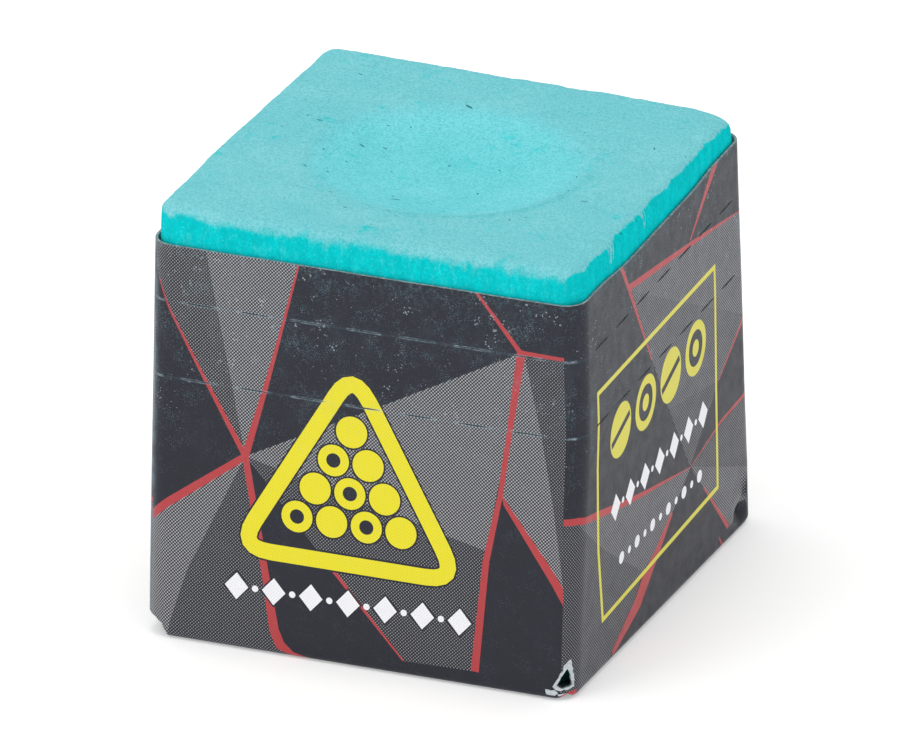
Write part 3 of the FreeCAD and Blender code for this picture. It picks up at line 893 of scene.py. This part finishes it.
# ---------------------------------------------------------------- chalk
# the top is worn out of level: its height at each corner
WORN_FRONT_LEFT, WORN_FRONT_RIGHT = TOP - 0.02, TOP - 0.24
WORN_BACK_RIGHT, WORN_BACK_LEFT = TOP - 0.78, TOP - 0.42
TOP_ROUND, FOOT_ROUND = 0.46, 0.35
UPRIGHT_ROUND = CORNER - PAPER - GLUE + 0.25
SHOULDER = RIM - 0.4       # above this height the block follows its worn top
DISH_RADIUS = 6.75
DISH_DEPTH = 1.1


def chalk_half(z):
    """Half width of the block at a height."""
    return BASE - SLOPE * z - GAP


def worn_top(x, y):
    x = np.clip(np.asarray(x, float) / BASE, -1, 1)
    y = np.clip(np.asarray(y, float) / BASE, -1, 1)
    return ((1 - x) * (1 - y) * WORN_FRONT_LEFT + (1 + x) * (1 - y) * WORN_FRONT_RIGHT
            + (1 + x) * (1 + y) * WORN_BACK_RIGHT + (1 - x) * (1 + y) * WORN_BACK_LEFT) / 4


def block_distance(points):
    """Signed distance to the drafted block with rounded upright, top and lower edges."""
    z = points[:, 2]
    beyond = np.abs(points[:, :2]) - (chalk_half(z) - UPRIGHT_ROUND)[:, None]
    plan = (np.linalg.norm(np.maximum(beyond, 0), axis=1)
            + np.minimum(np.maximum(beyond[:, 0], beyond[:, 1]), 0) - UPRIGHT_ROUND)
    high = worn_top(points[:, 0], points[:, 1])
    level = np.maximum(z - high, GAP - z)
    edge = np.where(z > (GAP + high) / 2, TOP_ROUND, FOOT_ROUND)
    plan, level = plan + edge, level + edge
    outside = np.sqrt(np.maximum(plan, 0) ** 2 + np.maximum(level, 0) ** 2)
    return np.minimum(np.maximum(plan, level), 0) + outside - edge


def block_normals(points):
    slope = np.empty_like(points)
    for axis in range(3):
        step = np.zeros(3)
        step[axis] = 0.01
        slope[:, axis] = block_distance(points + step) - block_distance(points - step)
    return slope / np.maximum(np.linalg.norm(slope, axis=1)[:, None], 1e-9)


def chalk_grid():
    """A sharp-edged block of quads, finer above the lower perforation."""
    count = 150
    grid = np.linspace(-1, 1, count + 1)
    levels = np.concatenate([
        np.linspace(GAP, 2.0, 12)[:-1], np.linspace(2.0, ROW_LOW, 14)[:-1],
        np.linspace(ROW_LOW, SHOULDER, 28)[:-1], np.linspace(SHOULDER, TOP, 17)])
    last = len(levels) - 1
    index, points, quads = {}, [], []

    def vertex(i, j, k):
        key = (i, j, k)
        if key not in index:
            z = levels[k]
            half = chalk_half(z)
            x, y = grid[i] * half, grid[j] * half
            if z > SHOULDER:
                worn = float(worn_top(x, y)) - SHOULDER
                z = SHOULDER + (z - SHOULDER) * worn / (TOP - SHOULDER)
            index[key] = len(points)
            points.append((x, y, z))
        return index[key]

    def quad(*keys):
        quads.append(tuple(vertex(*key) for key in keys))

    for i in range(count):
        for j in range(count):
            quad((i, j, last), (i + 1, j, last), (i + 1, j + 1, last), (i, j + 1, last))
            quad((i, j, 0), (i, j + 1, 0), (i + 1, j + 1, 0), (i + 1, j, 0))
    for k in range(last):
        for i in range(count):
            quad((i, 0, k), (i + 1, 0, k), (i + 1, 0, k + 1), (i, 0, k + 1))
            quad((i + 1, count, k), (i, count, k), (i, count, k + 1), (i + 1, count, k + 1))
            quad((0, i + 1, k), (0, i, k), (0, i, k + 1), (0, i + 1, k + 1))
            quad((count, i, k), (count, i + 1, k), (count, i + 1, k + 1), (count, i, k + 1))
    return np.array(points), quads


def wear_block(points, normal, drop, face_top):
    """Worn upper edge with small chips, rubbed-down places, and the grain of pressed powder."""
    reach = np.maximum(np.abs(points[:, 0]), np.abs(points[:, 1]))
    from_side = chalk_half(points[:, 2]) - reach
    edge_near = np.exp(-((drop / 0.55) ** 2 + (from_side / 0.55) ** 2))
    wander = fractal(points, 0.45, 3, 2.0)
    crumb = fractal(points, 2.2, 3, 31.0)
    wear = edge_near * (0.05 + 0.07 * np.clip(wander, -0.4, 1)
                        + 0.08 * np.clip(crumb - 0.12, 0, 1))
    # the left-hand edge is worn in towards the rear
    rearward = smooth(points[:, 1], -3.0, 9.5)
    high = smooth(points[:, 2], RIM - 0.6, RIM + 0.3)
    points[:, 0] += 0.34 * rearward * high * np.clip(-points[:, 0] / 10.5, 0, 1) ** 6
    # and the back right corner is rubbed down
    near = np.exp(-(((points[:, 0] - 10.4) / 1.5) ** 2 + ((points[:, 1] - 10.4) / 1.5) ** 2))
    points[:, 2] -= 0.27 * near * high
    grain = fractal(points, 1.1, 4, 11.0) * 0.010 + fractal(points, 4.5, 2, 13.0) * 0.007
    grain = np.where(1 - face_top > 0.5, np.minimum(grain, 0.0) - 0.002, grain)
    return points - normal * (wear - grain)[:, None]


def carve_dish(points, face_top):
    """Shallow dish with a soft lip and faint rings in its floor."""
    radius = np.hypot(points[:, 0], points[:, 1])
    bowl = DISH_DEPTH * np.clip(1 - (radius / DISH_RADIUS) ** 2, 0, 1)
    lip = 0.05 * np.exp(-((radius - DISH_RADIUS) / 0.9) ** 2)
    rings = (0.006 * np.sin(radius * 6.0 + fractal(points, 0.5, 2, 51.0))
             * np.clip(1 - (radius / 7.2) ** 4, 0, 1))
    points[:, 2] -= (bowl + lip + rings) * face_top


def carve_pits(points, face_top):
    """Pits and short scratches in the top, mostly drawn out round the middle."""
    rng = np.random.RandomState(17)
    for _ in range(95):
        pit_x, pit_y = rng.uniform(-10.2, 10.2, 2)
        size = rng.uniform(0.10, 0.20)
        depth = rng.uniform(0.03, 0.09)
        stretch = rng.uniform(1.0, 3.0)
        turn = math.atan2(pit_y, pit_x) + math.pi / 2 + rng.uniform(-0.5, 0.5)
        x, y = points[:, 0] - pit_x, points[:, 1] - pit_y
        along = (x * math.cos(turn) + y * math.sin(turn)) / (size * stretch)
        beside = (-x * math.sin(turn) + y * math.cos(turn)) / size
        points[:, 2] -= depth * np.exp(-(along * along + beside * beside)) * face_top


def bruise_foot(points):
    """Bevel the four lower corners, knock off the front left one, and give at the dent."""
    for side_x in (-1, 1):
        for side_y in (-1, 1):
            from_corner = ((BASE - np.abs(points[:, 0])) + (BASE - np.abs(points[:, 1]))
                           + 0.75 * points[:, 2])
            here = (points[:, 0] * side_x > 0) & (points[:, 1] * side_y > 0)
            cut = np.clip(3.1 - from_corner, 0, None) * here
            points[:, 0] -= side_x * cut * 0.42
            points[:, 1] -= side_y * cut * 0.42
    long_x, long_y, long_z = 1.35, 2.8, 1.20     # the knocked-off piece along each edge
    from_left, from_front = BASE + points[:, 0], BASE + points[:, 1]
    share = from_left / long_x + from_front / long_y + points[:, 2] / long_z
    cut = np.clip(1 - share, 0, None)
    points[:, 0] += cut * 0.5 * long_x
    points[:, 1] += cut * 0.5 * long_y
    far, high = (points[:, 1] - DENT[0]) / 0.75, (points[:, 2] - DENT[1]) / 0.65
    points[:, 0] -= 0.36 * np.exp(-(far ** 2 + high ** 2)) * (points[:, 0] > 8)


def chalk_block():
    points, quads = chalk_grid()
    for _ in range(4):
        points = points - block_normals(points) * block_distance(points)[:, None]
    normal = block_normals(points)
    drop = worn_top(points[:, 0], points[:, 1]) - points[:, 2]
    face_top = smooth(-drop, -0.9, -0.1)
    points = wear_block(points, normal, drop, face_top)
    carve_dish(points, face_top)
    carve_pits(points, face_top)
    bruise_foot(points)
    mesh = make_mesh("pressed_chalk_block", knock(points) * MM, quads)
    depth = mesh.attributes.new("drop", "FLOAT", "POINT")
    depth.data.foreach_set("value", drop.astype(np.float32))
    return make_object("pressed_chalk_block", mesh)


def by_side(net, right, elsewhere, on_right):
    return net.ramp(right, span=(0, 1), to=(elsewhere, on_right))


def rubbed_mask(net, place, y, drop, right):
    """1 on the rubbed top, 0 on the moulded sides, with a ragged border between."""
    ragged = net.noise(net.mapping(place, scale=(1, 1, 0.8)), scale=1.3, detail=7.0, rough=0.70)
    wide = net.noise(place, scale=0.38, detail=2.0)
    border = net.plus(drop, net.plus(
        net.times(net.minus(ragged, 0.5), by_side(net, right, elsewhere=1.5, on_right=0.55)),
        net.times(net.minus(wide, 0.5), by_side(net, right, elsewhere=1.0, on_right=0.35))))
    # two chips of pale powder down the right-hand side
    first = net.ramp(net.size(net.plus(y, 1.95)), span=(0.14, 0.34))
    first = net.minus(1.0, net.most(first, 0.0))
    second = net.ramp(net.size(net.plus(y, 6.15)), span=(0.20, 0.46), to=(1.0, 0.0))
    broken = net.noise(net.mapping(place, scale=(1, 1.6, 0.8)), scale=2.6, detail=4.0, rough=0.7)
    chips = net.times(net.most(first, second), net.ramp(broken, span=(0.40, 0.56)))
    border = net.minus(border, net.times(chips, right, 0.9))
    end = by_side(net, right, elsewhere=0.62, on_right=0.22)
    return net.ramp(border, span=(0.12, end), to=(1.0, 0.0))


def side_colour(net, place, right):
    deep, full = (0.000, 0.540, 0.565), (0.000, 0.665, 0.690)
    pale_streak, dark_streak = (0.09, 0.78, 0.79), (0.000, 0.47, 0.49)
    cloud = net.noise(net.mapping(place, scale=(1, 1, 0.45)), scale=2.2, detail=5.0, rough=0.7)
    colour = net.mix(net.ramp(cloud, span=(0.32, 0.70)), deep, full)
    streak = net.noise(net.mapping(place, scale=(1, 1, 0.38)), scale=3.0, detail=7.0, rough=0.78)
    pale = net.times(net.ramp(streak, span=(0.50, 0.76), to=(0.0, 0.60)),
                     by_side(net, right, elsewhere=1.0, on_right=0.25))
    colour = net.mix(pale, colour, pale_streak)
    dark = net.times(net.ramp(streak, span=(0.30, 0.42), to=(0.35, 0.0)), 1.0)
    return net.mix(dark, colour, dark_streak)


def top_colour(net, place, x, y, radius):
    powder_dull, powder_pale = (0.205, 0.625, 0.680), (0.250, 0.675, 0.725)
    bowl_dull, bowl_pale = (0.172, 0.680, 0.735), (0.228, 0.742, 0.800)
    swirl_colour, lip_shade_colour = (0.07, 0.52, 0.56), (0.075, 0.53, 0.56)
    ragged = net.minus(net.noise(place, scale=0.5, detail=4.0, rough=0.65), 0.5)
    inside = net.ramp(net.plus(radius, net.times(ragged, 1.6)), span=(5.5, 7.0), to=(1.0, 0.0))
    cloud = net.noise(place, scale=0.26, detail=3.0, rough=0.55)
    powder = net.mix(net.ramp(cloud, span=(0.25, 0.75)), powder_dull, powder_pale)
    bowl = net.mix(net.ramp(cloud, span=(0.25, 0.75)), bowl_dull, bowl_pale)
    colour = net.mix(inside, powder, bowl)
    # faint swirling streaks
    swirl = net.noise(place, scale=1.3, detail=5.0, rough=0.7, warp=1.2)
    colour = net.mix(net.times(net.ramp(swirl, span=(0.50, 0.70)), 0.14), colour, swirl_colour)
    # the dish's lip is painted darker towards the front right, as shade on the near lip
    lip = net.ramp(net.size(net.minus(radius, 6.85)), span=(0.0, 0.55), to=(1.0, 0.0))
    lip = net.times(lip, net.ramp(net.minus(x, y), span=(2.5, 8.5)))
    patchy = net.noise(place, scale=1.1, detail=4.0)
    lip = net.times(lip, net.ramp(patchy, span=(0.35, 0.62), to=(0.10, 0.45)))
    return net.mix(lip, colour, lip_shade_colour)


# Four sets of short nicks: turn, shift of the pattern, stretch, and how rare they are.
NICKS = ((0.35, 0.0, 0.45, 0.50), (1.25, 7.3, 0.55, 0.52), (2.5, 3.1, 0.50, 0.52),
         (-0.2, 11.7, 0.40, 0.50))


def dark_marks(net, place, drop, radius):
    """Small dark specks, and short nicks that are strongest in the dish."""
    few = net.ramp(net.noise(place, scale=0.7, detail=2.0), span=(0.40, 0.54))
    size = net.ramp(net.noise(place, scale=2.1, detail=1.0), span=(0.3, 0.8), to=(0.0, 0.085))
    marks = net.times(net.less(net.cells(place, scale=1.15), size), few)
    upward = net.times(net.ramp(drop, span=(0.0, 0.35), to=(1.0, 0.0)),
                       net.ramp(radius, span=(6.0, 8.5), to=(1.0, 0.62)))
    for turn, shift, stretch, gate in NICKS:
        turned = net.mapping(place, scale=(1, 1, 0), turn=(0, 0, turn))
        nick = net.cells(net.mapping(turned, scale=(stretch, 1.7, 1), move=(shift, shift, 0)),
                         scale=1.0)
        spread = net.noise(net.mapping(place, scale=(1, 1, 0), move=(shift, 0, 0)), scale=0.9,
                           detail=2.0)
        size = net.ramp(spread, span=(gate, gate + 0.14), to=(0.0, 0.115))
        marks = net.most(marks, net.less(nick, net.times(size, upward)))
    return marks


def chalk_material():
    coarse_shade, fine_shade, fine_light = (0.05, 0.44, 0.48), (0.02, 0.34, 0.37), (0.38, 0.76, 0.80)
    mark_colour, corner_shade = (0.010, 0.11, 0.13), (0.006, 0.022, 0.026)

    net = Nodes("pressed_chalk")
    place = net.place()
    x, y, z = net.split(place)
    radius = net.math("SQRT", net.plus(net.times(x, x), net.times(y, y)))
    drop = net.attribute("drop")[2]
    right = net.ramp(x, span=(9.7, 10.25))
    top = rubbed_mask(net, place, y, drop, right)
    colour = net.mix(top, side_colour(net, place, right), top_colour(net, place, x, y, radius))

    # coarse and fine grain
    grain = net.noise(place, scale=8.5, detail=4.0, rough=0.72)
    coarse = net.noise(place, scale=3.4, detail=4.0, rough=0.65)
    coarse_dark = net.times(net.ramp(coarse, span=(0.36, 0.52), to=(0.16, 0.0)), top)
    colour = net.mix(coarse_dark, colour, coarse_shade)
    colour = net.mix(net.ramp(grain, span=(0.38, 0.56), to=(0.34, 0.0)), colour, fine_shade)
    light = net.times(net.ramp(grain, span=(0.54, 0.74), to=(0.0, 0.26)),
                      net.ramp(top, span=(0.0, 1.0), to=(0.45, 1.0)))
    colour = net.mix(light, colour, fine_light)

    marks = dark_marks(net, place, drop, radius)
    colour = net.mix(net.times(marks, 0.80), colour, mark_colour)
    # painted shade in the bruised lower corners, seen through the paper's holes and notches
    low_corner = net.plus(net.plus(net.size(x), net.size(y)), net.times(z, -0.8))
    colour = net.mix(net.ramp(low_corner, span=(17.9, 18.8), to=(0.0, 0.95)), colour, corner_shade)
    net.set("Base Color", colour)
    net.set("Roughness", 0.96)
    net.set("Specular IOR Level", 0.0)
    relief = net.plus(net.times(net.noise(place, scale=3.2, detail=6.0, rough=0.7), 1.0),
                      net.times(net.noise(place, scale=14.0, detail=4.0, rough=0.7), 0.5))
    relief = net.minus(relief, net.times(marks, 0.8))
    net.bump(relief, distance=0.00006, strength=0.5)
    return net.material


# ---------------------------------------------------------------- glue
def glue_material():
    greenish, yellowish = (0.36, 0.52, 0.46), (0.62, 0.62, 0.48)
    net = Nodes("dried_glue")
    place = net.place()
    cloud = net.noise(place, scale=1.4, detail=4.0, rough=0.6)
    net.set("Base Color", net.mix(net.ramp(cloud, span=(0.35, 0.65)), greenish, yellowish))
    net.set("Roughness", net.ramp(cloud, span=(0.3, 0.7), to=(0.32, 0.55)))
    grain = net.noise(place, scale=6.0, detail=4.0, rough=0.6)
    net.bump(grain, distance=0.00002, strength=0.6)
    return net.material


def glue_pads(name, patches):
    """Thin dabs between paper and block, from (around, up, half width, half height, seed)."""
    rings, count = 5, 40
    squareness = 0.62
    verts, faces = [], []
    for middle, middle_up, half_wide, half_high, seed in patches:
        shift = Vector((seed * 3.7, 1.3, 0.2))
        flat = [(middle, middle_up)]
        for level in range(1, rings + 1):
            for i in range(count):
                angle = 2 * math.pi * i / count
                cosine, sine = math.cos(angle), math.sin(angle)
                wobble = 1 + 0.16 * noise.noise(Vector((cosine * 1.6, sine * 1.6, 0)) + shift)
                x = math.copysign(abs(cosine) ** squareness, cosine) * half_wide
                y = math.copysign(abs(sine) ** squareness, sine) * half_high
                flat.append((middle + x * wobble * level / rings,
                             middle_up + y * wobble * level / rings))
        flat = np.array(flat)
        fade = np.concatenate([[0.0], np.repeat(np.arange(1, rings + 1) / rings, count)])
        thick = GLUE * (1 - 0.35 * fade ** 4)
        outer = sheet_point(flat[:, 0], flat[:, 1], -PAPER - GLUE + thick)
        inner = sheet_point(flat[:, 0], flat[:, 1], -PAPER - GLUE - 0.004)
        front = len(verts)
        back = front + len(flat)
        verts += list(knock(outer) * MM) + list(knock(inner) * MM)
        for i in range(count):
            j = (i + 1) % count
            faces.append((front, front + 1 + i, front + 1 + j))
            faces.append((back, back + 1 + j, back + 1 + i))
            for level in range(rings - 1):
                near, far = 1 + level * count, 1 + (level + 1) * count
                faces.append((front + near + i, front + far + i, front + far + j,
                              front + near + j))
                faces.append((back + near + i, back + near + j, back + far + j, back + far + i))
            last = 1 + (rings - 1) * count
            faces.append((front + last + i, back + last + i, back + last + j, front + last + j))
    return make_object(name, make_mesh(name, verts, faces))


def glue_patches():
    """Patches under the sleeve, on walls and flaps, and dabs under the two bands."""
    sleeve, bands = [], []
    for number, face in enumerate((0, 1, -2, 3)):
        middle = face * PANEL
        sleeve.append((middle, 7.0, 6.4, 4.4, number + 1))
        sleeve.append((middle, FOLD_END - 2.9, 4.4, 1.4, number + 9))
        bands.append((middle, (ROW_LOW + ROW_HIGH) / 2, 2.1, 0.65, number + 21))
        bands.append((middle, (ROW_HIGH + RIM) / 2, 2.1, 0.65, number + 31))
    return sleeve, bands


# ---------------------------------------------------------------- build
def fit(thing, material, body, node):
    """Give a piece its material, hang it under its body, and hide the CAD piece it stands for."""
    thing.data.materials.append(material)
    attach(thing, body)
    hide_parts(node)


def build_paper():
    points, tris, inks = build_sheet()
    middle_up = points[tris][:, :, 1].mean(axis=1)
    material = paper_material()
    between = (middle_up > ROW_LOW) & (middle_up < ROW_HIGH)
    pieces = (("wrapper_sleeve", "cube", middle_up < ROW_LOW),
              ("lower_tear_band", "lower_band", between),
              ("upper_tear_band", "upper_band", middle_up > ROW_HIGH))
    things = [sheet_piece(node + "_paper", points, tris, inks, chosen)
              for node, _, chosen in pieces]
    for thing, (node, body, _) in zip(things, pieces):
        fit(thing, material, body, node)


def build_glue():
    material = glue_material()
    sleeve, bands = glue_patches()
    for name, patches, node in (("sleeve_glue_patches", sleeve, "sleeve_glue"),
                                ("band_glue_dabs", bands, "band_glue")):
        fit(glue_pads(name, patches), material, "cube", node)


build_paper()
fit(chalk_block(), chalk_material(), "cube", "chalk_block")
build_glue()


# ---------------------------------------------------------------- floor, light, camera (metres)
def build_floor():
    half = 1.5
    corners = [(-half, -half, 0), (half, -half, 0), (half, half, 0), (-half, half, 0)]
    floor = make_object("floor", make_mesh("floor", corners, [(0, 1, 2, 3)], smooth_faces=False))
    floor.location.z = -0.00002
    net = Nodes("pale_floor")
    net.set("Base Color", (0.90, 0.90, 0.90))
    net.set("Roughness", 0.9)
    net.set("Specular IOR Level", 0.0)
    net.set("Emission Color", (1.0, 1.0, 1.0))
    net.set("Emission Strength", 0.30)
    floor.data.materials.append(net.material)


def build_world():
    """Soft light on the object; where the camera sees it, as pale as the far floor."""
    light_strength, seen_strength = 0.55, 0.83
    world = bpy.data.worlds.new("studio")
    bpy.context.scene.world = world
    world.use_nodes = True
    tree = world.node_tree
    background = tree.nodes["Background"]
    background.inputs[0].default_value = (1.0, 1.0, 1.0, 1.0)
    path = tree.nodes.new("ShaderNodeLightPath")
    shade = tree.nodes.new("ShaderNodeMapRange")
    tree.links.new(path.outputs["Is Camera Ray"], shade.inputs["Value"])
    shade.inputs["To Min"].default_value = light_strength
    shade.inputs["To Max"].default_value = seen_strength
    tree.links.new(shade.outputs[0], background.inputs[1])


def area(name, place, size, power):
    """A square white lamp aimed at the middle of the cube."""
    lamp = bpy.data.lights.new(name, "AREA")
    lamp.shape = "RECTANGLE"
    lamp.size = lamp.size_y = size
    lamp.energy = power
    thing = make_object(name, lamp)
    thing.location = place
    aim = Vector((0, 0, 0.01)) - Vector(place)
    thing.rotation_euler = aim.to_track_quat("-Z", "Y").to_euler()


def build_camera():
    azimuth, elevation = math.radians(21.695), math.radians(24.694)     # from -y towards +x; up
    roll = math.radians(-0.4916)
    distance = 0.9855
    aim = Vector((0, 0, 0.011))
    data = bpy.data.cameras.new("camera")
    camera = make_object("camera", data)
    direction = Vector((math.sin(azimuth) * math.cos(elevation),
                        -math.cos(azimuth) * math.cos(elevation), math.sin(elevation)))
    camera.location = aim + direction * distance
    camera.rotation_euler = (-direction).to_track_quat("-Z", "Y").to_euler()
    camera.rotation_euler.rotate_axis("Z", roll)
    data.sensor_width = 36.0
    data.lens = 843.927012
    data.shift_x = 0.00110555556
    data.shift_y = -0.0152222222
    data.clip_start = 0.05
    data.clip_end = 20.0
    bpy.context.scene.camera = camera


build_floor()
build_world()
area("overhead", place=(-0.05, -0.02, 0.42), size=0.45, power=0.9)
area("front_left", place=(-0.32, -0.40, 0.22), size=0.30, power=0.5)
area("right", place=(0.45, -0.15, 0.20), size=0.25, power=0.25)
build_camera()
bpy.context.scene.view_settings.view_transform = "Standard"
